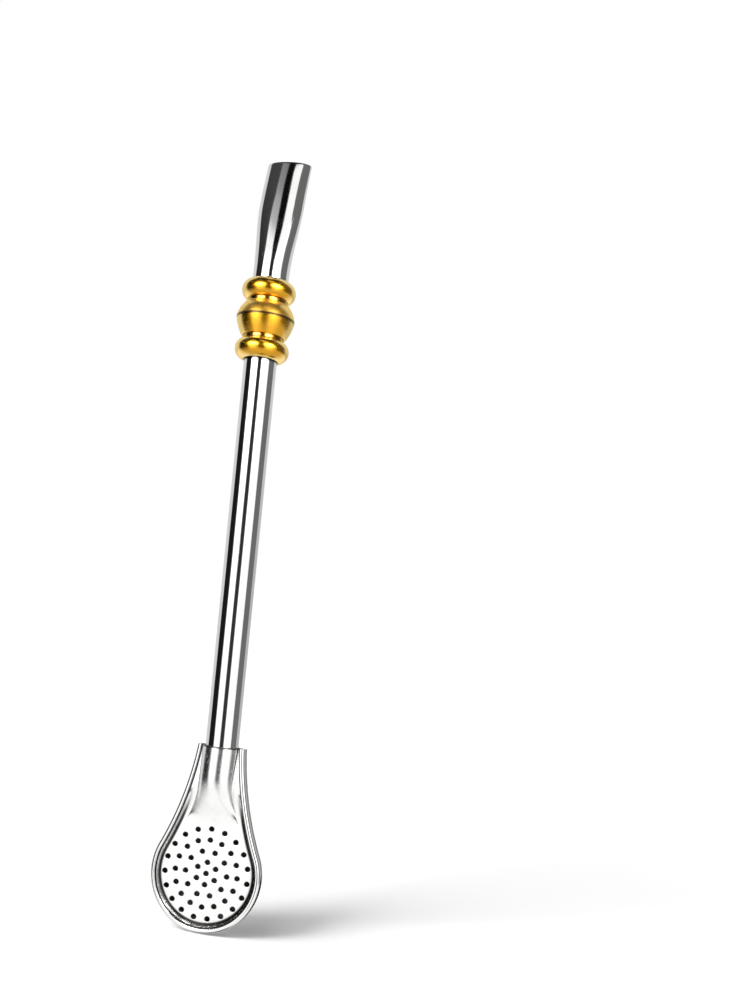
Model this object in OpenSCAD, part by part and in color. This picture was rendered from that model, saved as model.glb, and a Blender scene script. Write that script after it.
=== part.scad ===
// Bombilla: a metal drinking straw for mate, with a spoon filter at the foot,
// turned gold rings near the top and a flattened, swept-back mouthpiece.
// Millimetres, +Z up along the straw, filter tip at the origin, strainer face towards -Y.

/* [Straw] */
// Outside diameter of the straw tube
stem_d = 9.5; // [8.5:0.1:10.2]
// Wall of the straw tube
stem_wall = 0.6; // [0.4:0.05:0.9]
// Bare length of straw between the filter neck and the rings
stem_len = 111.5; // [70:0.5:160]
// Length of straw pushed up into the mouthpiece
top_insert = 13; // [8:0.5:16]

/* [Filter outline] */
// Length of the filter from its tip to the end of the neck
filter_len = 52.8; // [51:0.1:58]
// Radius of the round bowl
bowl_r = 16.5; // [15.5:0.1:17.5]
// Width across the end of the neck, over both hems
neck_w = 14.3; // [13.9:0.1:15.5]
// Radius of the hollow flanks between neck and bowl
flank_r = 90; // [80:1:120]
// Angle between the filter and the straw, in degrees
filter_lean = 5; // [0:0.5:7]

/* [Filter sheet metal] */
// Sheet thickness of both filter halves
sheet = 0.6; // [0.5:0.05:0.7]
// Width of the hem that folds over the strainer plate
hem_w = 1.3; // [1.1:0.1:1.5]
// Outside radius of the hem's fold
hem_round = 0.9; // [0.5:0.1:1.1]
// Strip of flat flange that shows inside the hem
flange_show = 0.3; // [0.1:0.1:0.5]
// Width of the slope between the flange and the strainer face
step_w = 1.3; // [0.9:0.1:1.5]
// Depth of the strainer face below the flange
face_drop = 1; // [0.7:0.1:1.2]
// Depth of the rim's outer wall behind the parting plane
wall_deep = 1.8; // [1:0.1:2.4]
// Setback of the bowl behind the rim's outer wall
wall_set = 0.25; // [0.15:0.05:0.25]
// Depth of the back bowl behind the parting plane
bowl_depth = 7.5; // [6.5:0.1:9]
// Length of the neck that grips the straw
neck_grip = 7; // [5:0.5:8]
// Length of flat flange between the sunk face and the neck's grip
pocket_len = 5; // [4:0.5:6]
// Length over which the neck's swell dies away on the strainer face
swell_len = 19; // [16:0.5:21]

/* [Strainer holes] */
// Diameter of each hole
hole_d = 1.6; // [1.0:0.1:1.8]
// Distance from one ring of holes to the next
hole_pitch = 3.15; // [2.8:0.05:3.2]
// Holes in each ring, from the inside out
hole_counts = [6, 10, 16, 19]; // [4:1:19]

/* [Rings] */
// Outside diameter of the two beads
bead_d = 15.6; // [14.8:0.1:17]
// Height of each bead
bead_h = 6.1; // [5.4:0.1:7]
// Outside diameter of the barrel at its seam
barrel_d = 16.8; // [15.8:0.1:18]
// Height of the barrel's domed upper half
dome_h = 4.6; // [4:0.1:5.2]
// Diameter of the barrel at the top of its dome
dome_d = 12.6; // [12.4:0.1:13.4]
// Outward curve of the dome between its ends
dome_swell = 0.45; // [0.2:0.05:0.7]
// Height of the barrel's tapered lower half
taper_h = 5.2; // [4:0.1:6]
// Diameter of the barrel at the foot of its taper
taper_d = 13; // [12.8:0.1:14]
// Outward curve of the taper between its ends
taper_swell = 0.3; // [0:0.05:0.5]
// Wall of the two barrel shells
shell_wall = 0.7; // [0.5:0.05:0.9]
// Height of the groove between neighbouring rings
groove_h = 0.7; // [0.4:0.1:1.2]
// Wall of the sleeve that the rings sit on
sleeve_wall = 0.6; // [0.45:0.05:0.7]
// Height of the lip on each bead that hides the ends of the tubes
lip_h = 1; // [0.8:0.1:1.4]
// Recess of a tube's end behind the edge of the piece it sits in
end_recess = 0.3; // [0.2:0.05:0.6]

/* [Mouthpiece] */
// Length of mouthpiece that shows above the rings
mouth_len = 37.2; // [30:0.1:44]
// Wall of the mouthpiece tube
mouth_wall = 0.4; // [0.35:0.05:0.5]
// Width of the flattened mouth
mouth_w = 13.3; // [11.5:0.1:14.5]
// Thickness of the flattened mouth
mouth_t = 6.2; // [5.8:0.1:7]
// Length of round tube that shows above the rings
press_start = 2; // [0:0.5:4]
// Length over which the round tube is pressed flat
press_len = 22; // [14:0.5:26]
// Squareness of the flattened mouth: 2 is an ellipse
mouth_square = 2.1; // [2:0.1:3]
// Angle through which the mouthpiece sweeps back, in degrees
mouth_bend = 14; // [0:1:18]
// Angle between the cut across the mouth and the planes of the rings, in degrees
mouth_cut = 0; // [-4:1:8]
// Lean of the rings and the mouthpiece's foot against the straw, in degrees
upper_lean = 4; // [0:0.5:6]

/* [Fits] */
// Radial clearance between one tube and the next
slip = 0.05; // [0.03:0.01:0.08]
// Depth by which the straw's ends are turned down, inside and out
end_step = 0.06; // [0.05:0.01:0.1]

/* [Hidden] */

$fn = 64;
steel = [0.80, 0.81, 0.82];
bright_steel = [0.88, 0.89, 0.90];
gold = [0.85, 0.64, 0.15];

// Straw and the tubes that slide over one another at its top
stem_r = stem_d / 2;
bore_r = stem_r - stem_wall;
socket_r = stem_r + slip;
mouth_r = socket_r + mouth_wall;
sleeve_in_r = mouth_r + slip;
sleeve_r = sleeve_in_r + sleeve_wall;
ring_bore_r = sleeve_r + slip;

// Ring heights above the foot of the ring set
taper_z = bead_h + groove_h;
seam_z = taper_z + taper_h;
dome_top_z = seam_z + dome_h;
top_bead_z = dome_top_z + groove_h;
rings_h = top_bead_z + bead_h;

// Where the straw leaves the filter neck, and where the ring set begins
neck_pos = [0, filter_len * sin(filter_lean), filter_len * cos(filter_lean)];
rings_pos = neck_pos + [0, 0, stem_len];

// Centre of the right-hand flank arc, tangent to the bowl and through the neck's corner
corner = [neck_w / 2, filter_len - bowl_r];
reach = norm(corner);
along = (pow(bowl_r + flank_r, 2) - pow(flank_r, 2) + pow(reach, 2)) / (2 * reach);
across = sqrt(pow(bowl_r + flank_r, 2) - pow(along, 2));
flank_x = (along * corner[0] + across * corner[1]) / reach;
flank_y = bowl_r + (along * corner[1] - across * corner[0]) / reach;
tangent_a = atan2(flank_y - bowl_r, flank_x);

// Neck: tube radii, the height where its grip ends, and where the sunk face gives way to flat flange
neck_in_r = stem_r + slip;
neck_out_r = neck_in_r + sheet;
grip_y = filter_len - neck_grip;
neck_insert = neck_grip - end_recess;
pocket_y = grip_y - pocket_len;
fade_y = grip_y - swell_len;

// Edges inside the filter outline, measured inwards from it
plate_edge = sheet + slip;
slope_edge = hem_w + flange_show;
face_edge = slope_edge + step_w;

// Heights over the parting plane while the filter lies on its back
flange_top = sheet;
hem_top = 2 * sheet;
face_top = flange_top - face_drop;
face_under = face_top - sheet;

// A small overlap that fuses two shapes of one piece
fuse = 0.3;
// Length by which a cutting shape runs past the surface it opens
past = 1;

function mix(a, b, t) = a + (b - a) * t;
function bulge(c, power) = sign(c) * pow(abs(c), power);
function ease(t) = let (c = min(max(t, 0), 1)) c * c * (3 - 2 * c);

// Half width of the filter outline at height y, moved inwards by inset
function half_w(y, inset) =
    y < bowl_r + (bowl_r - inset) * sin(tangent_a)
    ? sqrt(max(pow(bowl_r - inset, 2) - pow(y - bowl_r, 2), 0))
    : flank_x - sqrt(pow(flank_r + inset, 2) - pow(y - flank_y, 2));

// One arched cross-section: half an ellipse on a base line, with a floor below it
arch_steps = 24;
function arch(y, w, base, top, floor) = concat(
    [for (i = [0 : arch_steps])
        let (t = 180 * i / arch_steps)
        [w * cos(t), y, base + (top - base) * sin(t)]],
    [[-w, y, floor], [w, y, floor]]);

// Solid through a list of closed cross-sections with equal numbers of points
module loft(rings) {
    n = len(rings[0]);
    last = len(rings) - 1;
    sides = [for (k = [0 : last - 1]) for (i = [0 : n - 1])
        let (a = k * n + i, b = k * n + (i + 1) % n)
        each [[a, b, b + n], [a, b + n, a + n]]];
    caps = [for (i = [1 : n - 2])
        each [[0, i + 1, i], [last * n, last * n + i, last * n + i + 1]]];
    polyhedron(points = [for (ring = rings) each ring], faces = concat(sides, caps), convexity = 6);
}

// The filter is drawn lying on its back, face up, and then stood on its tip
module stand_filter() {
    rotate([90 - filter_lean, 0, 0]) children();
}

module on_rings_axis() {
    translate(rings_pos) rotate([-upper_lean, 0, 0]) children();
}

// Filter outline moved inwards, as a flat shape: round the bowl, then up the flank, and mirrored
outline_steps = 24;
function half_outline(inset) = let (end_a = asin((flank_y - filter_len) / (flank_r + inset))) concat(
    [for (i = [0 : outline_steps])
        let (a = mix(-90, tangent_a, i / outline_steps))
        [(bowl_r - inset) * cos(a), bowl_r + (bowl_r - inset) * sin(a)]],
    [for (i = [1 : outline_steps])
        let (a = mix(tangent_a, end_a, i / outline_steps))
        [flank_x - (flank_r + inset) * cos(a), flank_y - (flank_r + inset) * sin(a)]]);

module outline(inset) {
    right = half_outline(inset);
    left = [for (i = [len(right) - 1 : -1 : 1]) [-right[i][0], right[i][1]]];
    polygon(concat(right, left));
}

// Sweeps a profile (distance inwards, height) along the bowl and both flanks, up to height end_y
module rim_sweep(end_y) {
    intersection() {
        for (side = [0, 1]) mirror([side, 0, 0]) {
            translate([0, bowl_r, 0]) rotate([0, 0, -90])
                rotate_extrude(angle = 90 + tangent_a, $fn = 180)
                translate([bowl_r, 0]) mirror([1, 0]) children();
            translate([flank_x, flank_y, 0]) rotate([0, 0, 180])
                rotate_extrude(angle = tangent_a, $fn = 360)
                translate([flank_r, 0]) children();
        }
        translate([-2 * bowl_r, -past, -2 * bowl_r]) cube([4 * bowl_r, end_y + past, 4 * bowl_r]);
    }
}

// Hem: the back half's edge, turned up round the strainer plate and folded over it
fold_steps = 4;
module hem_profile() {
    fold = [for (i = [0 : fold_steps])
        let (a = 90 * i / fold_steps)
        [hem_round * (1 - cos(a)), hem_top - hem_round * (1 - sin(a))]];
    polygon(concat([[0, -wall_deep]], fold, [
        [hem_w, hem_top], [hem_w, flange_top], [sheet, flange_top], [sheet, 0], [hem_w, 0],
        [hem_w, -wall_deep]]));
}

// Edge of the strainer plate: flat flange, then the slope down to the sunk face
module step_profile() {
    polygon([
        [plate_edge, 0], [slope_edge, 0], [face_edge, face_under], [face_edge + fuse, face_under],
        [face_edge + fuse, face_top], [face_edge, face_top], [slope_edge, flange_top],
        [plate_edge, flange_top]]);
}

// Swell of the strainer plate: half a tube at the neck that flattens out on the face
swell_steps = 16;
module swell(skin, run_out) {
    function rise(y) = ease((y - fade_y) / swell_len);
    function width(y) = mix(half_w(y, face_edge + 2 * fuse), neck_out_r, rise(y)) - skin;
    function crown(y) = mix(face_top - fuse / 2, neck_out_r, rise(y)) - skin;
    function foot(y) = mix(face_under + fuse, 2 * slip, ease((y - fade_y) / (pocket_y - fade_y)));
    function under(y) = skin > 0 ? face_under - past - skin : y < pocket_y ? face_under + fuse / 2 : slip;
    heights = concat(
        [for (i = [0 : swell_steps]) fade_y + swell_len * i / swell_steps],
        [filter_len + run_out]);
    loft([for (y = heights) arch(y, width(y), min(foot(y), crown(y) - slip), crown(y), under(y))]);
}

// Hollow of the back bowl: a dish under an upright wall, drawing in to half a tube at the neck
dish_steps = 12;
draw_steps = 4;
// Angle from the tip at which the dish's first section lies
first_a = 6;
module dish(skin, run_out) {
    rim = wall_set + skin;
    deep = bowl_depth - skin;
    tube = neck_out_r - skin;
    function draw(y) = ease((y - pocket_y) / (grip_y - pocket_y));
    function width(y) = mix(half_w(y, rim), tube, draw(y));
    function wall(y) = mix(wall_deep, 2 * slip, draw(y));
    function depth(y) = y < bowl_r
        ? mix(wall_deep, deep, sqrt(max(1 - pow((y - bowl_r) / (bowl_r - rim), 2), 0)))
        : mix(deep, tube, ease((y - bowl_r) / (grip_y - bowl_r)));
    heights = concat(
        [for (i = [0 : dish_steps]) bowl_r - (bowl_r - rim) * cos(mix(first_a, 90, i / dish_steps))],
        [for (i = [1 : dish_steps]) mix(bowl_r, pocket_y, i / dish_steps)],
        [for (i = [1 : draw_steps]) mix(pocket_y, grip_y, i / draw_steps)],
        [filter_len + run_out]);
    lid = skin > 0 ? -flange_top / 2 : slip;
    mirror([0, 0, 1]) loft([for (y = heights) arch(y, width(y), wall(y), depth(y), lid)]);
}

// Straw: one tube, its ends turned down and set at a slight angle to enter filter and mouthpiece
module stem() {
    color(steel) translate(neck_pos) {
        tube(stem_r, bore_r, stem_len);
        difference() {
            rotate([-filter_lean, 0, 0]) translate([0, 0, -neck_insert]) straw_end(neck_insert + stem_d);
            translate([0, 0, fuse]) cylinder(r = stem_d, h = 2 * stem_d);
        }
        translate([0, 0, stem_len]) difference() {
            rotate([-upper_lean, 0, 0]) translate([0, 0, -stem_d]) straw_end(top_insert + stem_d);
            translate([0, 0, -2 * stem_d - fuse]) cylinder(r = stem_d, h = 2 * stem_d);
        }
    }
}

module straw_end(length) {
    tube(stem_r - end_step, bore_r + end_step, length);
}

module tube(outer_r, inner_r, length) {
    difference() {
        cylinder(r = outer_r, h = length);
        translate([0, 0, -past]) cylinder(r = inner_r, h = length + 2 * past);
    }
}

// Mouthpiece: a thin tube over the straw's top, swept back, pressed flat and cut across at the lips
mouth_sides = 40;
mouth_steps = 16;
module mouthpiece() {
    color(bright_steel) on_rings_axis() difference() {
        mouth_sweep(0, 0);
        mouth_sweep(mouth_wall, past);
    }
}

module mouth_sweep(skin, run_out) {
    function spine(s) = mouth_bend == 0
        ? [0, s]
        : let (r = mouth_len / (mouth_bend * PI / 180), a = mouth_bend * s / mouth_len)
            [r * (1 - cos(a)), r * sin(a)];
    function tilt(s) = mix(mouth_bend * s / mouth_len, mouth_cut, ease(2 * s / mouth_len - 1));
    function ring(s, back, rise) =
        let (t = ease((s - press_start) / press_len),
             power = 2 / mix(2, mouth_square, t),
             a = mix(mouth_r, mouth_w / 2, t) - skin,
             b = mix(mouth_r, mouth_t / 2, t) - skin)
        [for (i = [0 : mouth_sides - 1])
            let (q = -360 * i / mouth_sides, u = a * bulge(cos(q), power), v = b * bulge(sin(q), power))
            [u, back + v * cos(tilt(s)), rise - v * sin(tilt(s))]];
    foot = [for (z = [lip_h + end_recess - run_out, rings_h]) ring(0, 0, z)];
    swept = [for (i = [1 : mouth_steps])
        let (s = mouth_len * i / mouth_steps, p = spine(s))
        ring(s, p[0], rings_h + p[1])];
    tip = run_out > 0
        ? [let (p = spine(mouth_len))
            ring(mouth_len, p[0] + run_out * sin(mouth_bend), rings_h + p[1] + run_out * cos(mouth_bend))]
        : [];
    loft(concat(foot, swept, tip));
}

// Sleeve: carries the rings between the two lips and shows in the grooves
module ferrule_sleeve() {
    color(gold) on_rings_axis() translate([0, 0, lip_h + slip])
        tube(sleeve_r, sleeve_in_r, rings_h - 2 * lip_h - 2 * slip);
}

// Bead: a solid turned ring with a round outside, seated on the sleeve, with a lip at its outer end
module bead(z, seat_z, lip_r) {
    color(gold) on_rings_axis() translate([0, 0, z])
        rotate_extrude() difference() {
            translate([bead_d / 2 - bead_h / 2, bead_h / 2]) circle(bead_h / 2);
            translate([-bead_d, -past]) square([bead_d + lip_r, bead_h + 2 * past]);
            translate([-bead_d, seat_z]) square([bead_d + ring_bore_r, bead_h]);
        }
}

module top_bead() {
    bead(top_bead_z, -lip_h, sleeve_in_r);
}

module bottom_bead() {
    bead(0, lip_h, socket_r);
}

// Half of the barrel: a swelled shell from the seam to a turned-in end that sits on the sleeve
half_steps = 8;
module barrel_half(end_d, height, swell) {
    function shell_r(t) = mix(barrel_d, end_d, t) / 2 + swell * sin(180 * t);
    end_t = 1 - shell_wall / height;
    outside = [for (i = [0 : half_steps]) let (t = i / half_steps) [shell_r(t), height * t]];
    inside = [for (i = [half_steps : -1 : 0])
        let (t = end_t * i / half_steps) [shell_r(t) - shell_wall, height * t]];
    rotate_extrude() polygon(concat(
        outside, [[ring_bore_r, height], [ring_bore_r, height - shell_wall]], inside));
}

module barrel_upper() {
    color(gold) on_rings_axis() translate([0, 0, seam_z])
        barrel_half(dome_d, dome_h, dome_swell);
}

module barrel_lower() {
    color(gold) on_rings_axis() translate([0, 0, seam_z]) mirror([0, 0, 1])
        barrel_half(taper_d, taper_h, taper_swell);
}

// Strainer plate: flange, sunk perforated face and the front half of the neck
module strainer_plate() {
    color(bright_steel) stand_filter() difference() {
        union() {
            rim_sweep(pocket_y) step_profile();
            linear_extrude(sheet) intersection() {
                outline(plate_edge);
                translate([-neck_w, pocket_y - fuse]) square([2 * neck_w, filter_len]);
            }
            translate([0, 0, face_under]) linear_extrude(sheet) intersection() {
                outline(face_edge + fuse / 2);
                translate([-bowl_r, 0]) square([2 * bowl_r, pocket_y]);
            }
            swell(0, 0);
        }
        swell(sheet, past);
        strainer_holes();
    }
}

module strainer_holes() {
    translate([0, bowl_r, face_under - past]) {
        cylinder(d = hole_d, h = sheet + 2 * past, $fn = 24);
        for (k = [0 : len(hole_counts) - 1]) {
            offset_a = k == 1 ? 180 / hole_counts[k] : 0;
            for (i = [0 : hole_counts[k] - 1])
                rotate([0, 0, offset_a + 360 * i / hole_counts[k]])
                    translate([0, hole_pitch * (k + 1), 0])
                    cylinder(d = hole_d, h = sheet + 2 * past, $fn = 24);
        }
    }
}

// Back half: dished bowl under an upright rim, back of the neck, and the hem round the edge
module filter_back() {
    color(steel) stand_filter() difference() {
        union() {
            rim_sweep(filter_len) hem_profile();
            translate([0, 0, -wall_deep]) linear_extrude(wall_deep) outline(fuse);
            dish(0, 0);
        }
        dish(sheet, past);
    }
}

stem();
mouthpiece();
ferrule_sleeve();
top_bead();
barrel_upper();
barrel_lower();
bottom_bead();
strainer_plate();
filter_back();
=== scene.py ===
import math

import bpy
import numpy as np
from mathutils import Matrix, Vector
from mathutils.geometry import delaunay_2d_cdt


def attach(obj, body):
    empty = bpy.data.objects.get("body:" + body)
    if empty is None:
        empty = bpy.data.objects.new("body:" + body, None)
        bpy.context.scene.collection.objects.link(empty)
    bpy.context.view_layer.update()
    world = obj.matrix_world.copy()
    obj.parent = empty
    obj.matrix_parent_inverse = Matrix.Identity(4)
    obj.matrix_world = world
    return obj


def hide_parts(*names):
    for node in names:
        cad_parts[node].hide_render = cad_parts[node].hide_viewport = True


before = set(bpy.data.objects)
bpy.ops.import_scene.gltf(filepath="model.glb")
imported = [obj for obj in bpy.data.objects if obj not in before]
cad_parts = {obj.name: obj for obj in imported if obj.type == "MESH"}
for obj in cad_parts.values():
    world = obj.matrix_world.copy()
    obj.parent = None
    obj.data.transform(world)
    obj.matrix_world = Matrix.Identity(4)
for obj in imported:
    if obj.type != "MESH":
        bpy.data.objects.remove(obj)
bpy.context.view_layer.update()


# Straw. One length of drawn stainless tube, polished bright along its length.
# Its foot is brazed into the filter's neck, and its top is pushed into the mouthpiece.
millimetre = 0.001
filter_length = 52.8
filter_lean = math.radians(5)
ring_lean = math.radians(4)
straw_radius = 4.75
straw_bore = 4.15
straw_bare = 111.5
straw_into_neck = 6.7
straw_into_mouth = 13
straw_bend = 30
bend_steps = 12
straw_shade_reach = 0.35
neck_y = filter_length * math.sin(filter_lean)
neck_z = filter_length * math.cos(filter_lean)
ring_foot_z = neck_z + straw_bare
sides = 128
round_power = 2.0
# Painted shade: a dark brown mixed into the metal's colour where shade falls in joints, grooves and
# creases.
painted_shade_brown = (0.02, 0.018, 0.016, 1)
polish_depth = 0.01 * millimetre


def rounded(corners, steps=6, guard=0.04):
    """A line through corners (a, b, radius), with an arc at each corner
    and a point close beside each end of the arc."""
    line = []
    for k, (a, b, radius) in enumerate(corners):
        here = Vector((a, b))
        if radius == 0:
            line.append(here)
            continue
        back = (Vector(corners[k - 1][:2]) - here).normalized()
        on = (Vector(corners[(k + 1) % len(corners)][:2]) - here).normalized()
        half = back.angle(on) / 2
        start = here + back * (radius / math.tan(half))
        end = here + on * (radius / math.tan(half))
        centre = here + (back + on).normalized() * (radius / math.sin(half))
        first = math.atan2(start.y - centre.y, start.x - centre.x)
        last = math.atan2(end.y - centre.y, end.x - centre.x)
        turn = (last - first + math.pi) % (2 * math.pi) - math.pi
        line.append(start + back * guard)
        for i in range(steps + 1):
            angle = first + turn * i / steps
            line.append(centre + radius * Vector((math.cos(angle), math.sin(angle))))
        line.append(end + on * guard)
    return line


def cross_loop(y, z, lean, half_width, half_depth, power=round_power):
    """One cross-section of a tube whose axis leans back: a circle, an ellipse or a squarer oval."""
    points = []
    for k in range(sides):
        turn = 2 * math.pi * k / sides
        across = math.copysign(abs(math.cos(turn)) ** (2 / power), math.cos(turn)) * half_width
        deep = math.copysign(abs(math.sin(turn)) ** (2 / power), math.sin(turn)) * half_depth
        points.append((across, y + deep * math.cos(lean), z - deep * math.sin(lean)))
    return points


def wrapped_piece(name, loops):
    """A closed skin through loops that run up the outside, down the inside and back to the first."""
    count = len(loops[0])
    faces = []
    for row in range(len(loops)):
        below = row * count
        above = (row + 1) % len(loops) * count
        for k in range(count):
            on = (k + 1) % count
            faces.append((below + k, below + on, above + on, above + k))
    mesh = bpy.data.meshes.new(name)
    mesh.from_pydata([Vector(point) * millimetre for loop in loops for point in loop], [], faces)
    mesh.shade_smooth()
    piece = bpy.data.objects.new(name, mesh)
    bpy.context.scene.collection.objects.link(piece)
    return piece


def set_painted_shade(mesh, painted_shade):
    """Where painted shade lies on a mesh: one value from 0 to 1 for each point."""
    mesh.attributes.new("painted_shade", "FLOAT", "POINT").data.foreach_set("value", painted_shade)


def shader_group(name, inputs, outputs):
    """An empty shader node group with named sockets, and its own input and output nodes."""
    tree = bpy.data.node_groups.new(name, "ShaderNodeTree")
    for label, kind, value in inputs:
        socket = tree.interface.new_socket(name=label, in_out="INPUT", socket_type=kind)
        if value is not None:
            socket.default_value = value
    for label, kind in outputs:
        tree.interface.new_socket(name=label, in_out="OUTPUT", socket_type=kind)
    return tree, tree.nodes.new("NodeGroupInput"), tree.nodes.new("NodeGroupOutput")


# Hairlines left by the polishing wheel: noise drawn out one way, of which only the peaks show.
polish_lines, lines_in, lines_out = shader_group(
    "polish_lines",
    [("Position", "NodeSocketVector", None), ("Spacing", "NodeSocketVector", (9000, 9000, 60)),
     ("Threshold", "NodeSocketFloat", 0.62)],
    [("Mask", "NodeSocketFloat")])
drawn_out = polish_lines.nodes.new("ShaderNodeVectorMath")
drawn_out.operation = "MULTIPLY"
line_noise = polish_lines.nodes.new("ShaderNodeTexNoise")
line_noise.inputs["Scale"].default_value = 1
line_noise.inputs["Detail"].default_value = 2
line_peaks = polish_lines.nodes.new("ShaderNodeMapRange")
line_peaks.inputs["From Max"].default_value = 0.8
polish_lines.links.new(lines_in.outputs["Position"], drawn_out.inputs[0])
polish_lines.links.new(lines_in.outputs["Spacing"], drawn_out.inputs[1])
polish_lines.links.new(drawn_out.outputs["Vector"], line_noise.inputs["Vector"])
polish_lines.links.new(line_noise.outputs["Fac"], line_peaks.inputs["Value"])
polish_lines.links.new(lines_in.outputs["Threshold"], line_peaks.inputs["From Min"])
polish_lines.links.new(line_peaks.outputs["Result"], lines_out.inputs["Mask"])

# Haze where fingers and water have dulled the polish: broad soft patches.
handling_haze, haze_in, haze_out = shader_group(
    "handling_haze",
    [("Position", "NodeSocketVector", None), ("Scale", "NodeSocketFloat", 90)],
    [("Haze", "NodeSocketFloat")])
haze_noise = handling_haze.nodes.new("ShaderNodeTexNoise")
haze_noise.inputs["Detail"].default_value = 4
haze_noise.inputs["Roughness"].default_value = 0.6
haze_patches = handling_haze.nodes.new("ShaderNodeMapRange")
haze_patches.interpolation_type = "SMOOTHSTEP"
haze_patches.inputs["From Min"].default_value = 0.42
haze_patches.inputs["From Max"].default_value = 0.72
handling_haze.links.new(haze_in.outputs["Position"], haze_noise.inputs["Vector"])
handling_haze.links.new(haze_in.outputs["Scale"], haze_noise.inputs["Scale"])
handling_haze.links.new(haze_noise.outputs["Fac"], haze_patches.inputs["Value"])
handling_haze.links.new(haze_patches.outputs["Result"], haze_out.inputs["Haze"])


def polished_metal(name, clean, hazed, smooth, dulled, line_spacing, line_relief, haze_scale,
                   with_painted_shade=False, glancing=None):
    """Bright metal with polishing lines and handling haze. Painted shade, a dark brown in the colour,
    lies where a mesh's painted shade values say, and a glancing colour shows where the surface turns
    away from the eye."""
    material = bpy.data.materials.new(name)
    material.use_nodes = True
    nodes = material.node_tree.nodes
    link = material.node_tree.links.new
    metal = nodes["Principled BSDF"]
    metal.inputs["Metallic"].default_value = 1
    place = nodes.new("ShaderNodeTexCoord")
    lines = nodes.new("ShaderNodeGroup")
    lines.node_tree = polish_lines
    lines.inputs["Spacing"].default_value = line_spacing
    haze = nodes.new("ShaderNodeGroup")
    haze.node_tree = handling_haze
    haze.inputs["Scale"].default_value = haze_scale
    link(place.outputs["Object"], lines.inputs["Position"])
    link(place.outputs["Object"], haze.inputs["Position"])
    tint = nodes.new("ShaderNodeMix")
    tint.data_type = "RGBA"
    tint.inputs["A"].default_value = clean
    tint.inputs["B"].default_value = hazed
    link(haze.outputs["Haze"], tint.inputs["Factor"])
    colour = tint.outputs["Result"]
    if glancing:
        turned = nodes.new("ShaderNodeLayerWeight")
        away = nodes.new("ShaderNodeMapRange")
        away.interpolation_type = "SMOOTHSTEP"
        away.inputs["From Min"].default_value = 0.25
        away.inputs["From Max"].default_value = 0.6
        paler = nodes.new("ShaderNodeMix")
        paler.data_type = "RGBA"
        paler.inputs["B"].default_value = glancing
        link(turned.outputs["Facing"], away.inputs["Value"])
        link(away.outputs["Result"], paler.inputs["Factor"])
        link(colour, paler.inputs["A"])
        colour = paler.outputs["Result"]
    # Painted shade: the colour turns dark brown where the mesh's painted shade values rise.
    if with_painted_shade:
        painted_shade = nodes.new("ShaderNodeAttribute")
        painted_shade.attribute_name = "painted_shade"
        painted_shade_mix = nodes.new("ShaderNodeMix")
        painted_shade_mix.data_type = "RGBA"
        painted_shade_mix.inputs["B"].default_value = painted_shade_brown
        link(painted_shade.outputs["Fac"], painted_shade_mix.inputs["Factor"])
        link(colour, painted_shade_mix.inputs["A"])
        colour = painted_shade_mix.outputs["Result"]
    link(colour, metal.inputs["Base Color"])
    patchy = nodes.new("ShaderNodeMath")
    patchy.operation = "MULTIPLY_ADD"
    patchy.inputs[1].default_value = dulled - smooth
    patchy.inputs[2].default_value = smooth
    link(haze.outputs["Haze"], patchy.inputs[0])
    lined = nodes.new("ShaderNodeMath")
    lined.operation = "MULTIPLY_ADD"
    lined.inputs[1].default_value = dulled
    link(lines.outputs["Mask"], lined.inputs[0])
    link(patchy.outputs["Value"], lined.inputs[2])
    link(lined.outputs["Value"], metal.inputs["Roughness"])
    relief = nodes.new("ShaderNodeBump")
    relief.inputs["Strength"].default_value = line_relief
    relief.inputs["Distance"].default_value = polish_depth
    link(lines.outputs["Mask"], relief.inputs["Height"])
    link(relief.outputs["Normal"], metal.inputs["Normal"])
    return material


straw_line = rounded([
    (neck_y - straw_into_neck * math.sin(filter_lean),
     neck_z - straw_into_neck * math.cos(filter_lean), 0),
    (neck_y, neck_z, straw_bend),
    (neck_y, ring_foot_z, straw_bend),
    (neck_y + straw_into_mouth * math.sin(ring_lean),
     ring_foot_z + straw_into_mouth * math.cos(ring_lean), 0),
], bend_steps)
straw_leans = []
for k, point in enumerate(straw_line):
    before = straw_line[max(k - 1, 0)]
    after = straw_line[min(k + 1, len(straw_line) - 1)]
    straw_leans.append(math.atan2(after.x - before.x, after.y - before.y))


def straw_skin(radius):
    """The straw's cross-sections at one radius, from its foot to its top."""
    return [cross_loop(p.x, p.y, lean, radius, radius) for p, lean in zip(straw_line, straw_leans)]


straw = wrapped_piece("straw", straw_skin(straw_radius) + straw_skin(straw_bore)[::-1])
# Painted shade: a dark band on the straw just below the lower bead's foot, where the bead shades it.
straw_painted_shade = [math.exp(-((p.y - ring_foot_z) / straw_shade_reach) ** 2)
               for p in straw_line for _ in range(sides)]
set_painted_shade(straw.data, straw_painted_shade + [0] * len(straw_painted_shade))
straw.data.materials.append(polished_metal(
    "straw_polish", clean=(0.82, 0.82, 0.81, 1), hazed=(0.78, 0.78, 0.77, 1), smooth=0.03, dulled=0.07,
    line_spacing=(9000, 9000, 50), line_relief=0.15, haze_scale=120, with_painted_shade=True))
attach(straw, "root")
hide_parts("stem")


# Mouthpiece. A second tube, thinner in the wall, pushed over the straw's top inside the rings.
# It is swept back and pressed flat towards the lips, and its rim is rounded for the mouth.
ring_set_height = 23.4
ring_lip = 1.0
tube_recess = 0.3
mouth_foot = ring_lip + tube_recess
mouth_radius = 5.2
mouth_wall = 0.4
mouth_length = 37.2
mouth_half_width = 6.65
mouth_half_depth = 3.1
mouth_round = 2
mouth_press = 22
press_onset = 0.2
mouth_squareness = 2.1
mouth_sweep = math.radians(14)


def ease(t):
    """From 0 to 1, slow at both ends."""
    t = np.clip(t, 0, 1)
    return t * t * (3 - 2 * t)


def mix(a, b, t):
    """The value at share t of the way from a to b."""
    return a + (b - a) * t


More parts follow.
